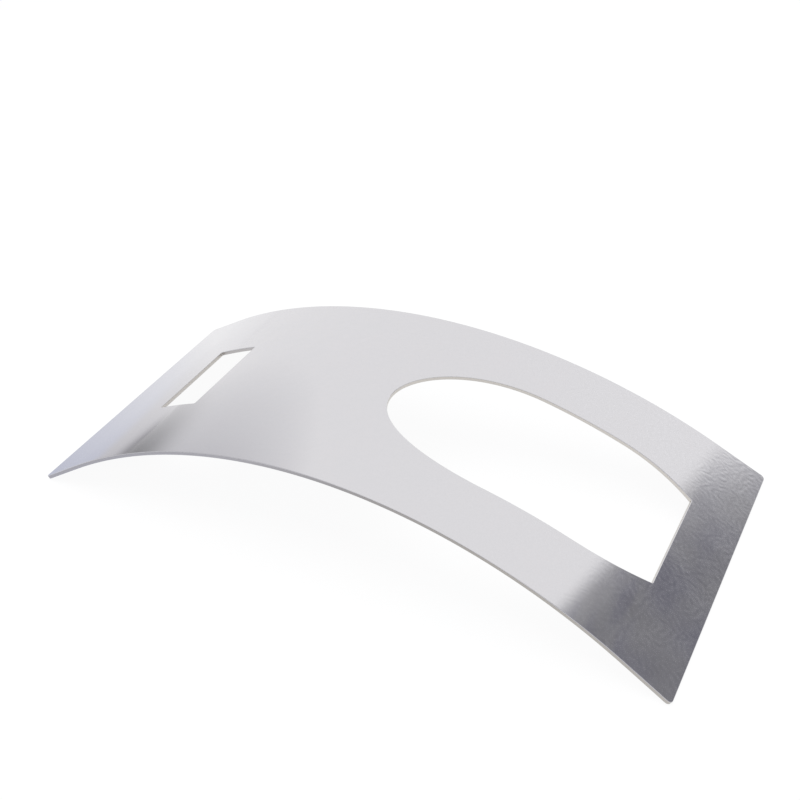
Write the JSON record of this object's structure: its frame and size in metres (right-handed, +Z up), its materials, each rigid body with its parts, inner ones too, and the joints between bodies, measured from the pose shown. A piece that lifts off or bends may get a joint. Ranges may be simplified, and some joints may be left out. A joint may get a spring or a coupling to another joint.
{
  "type": "arched table cradle",
  "caption": "Arched cradle of polished stainless sheet, with a wide round-nosed opening near one end and a narrow cross slot near the other.",
  "frame": {"origin": "centre of the footprint, on the surface that the two end edges stand on", "axes": "+X along the arch toward the end with the wide opening, +Y across the sheet, +Z up"},
  "size_m": [0.3282, 0.1456, 0.0547],
  "materials": {
    "polished_steel": "mirror polished stainless steel"
  },
  "bodies": {
    "root": {"cradle_sheet": "polished_steel"}
  },
  "joints": []
}
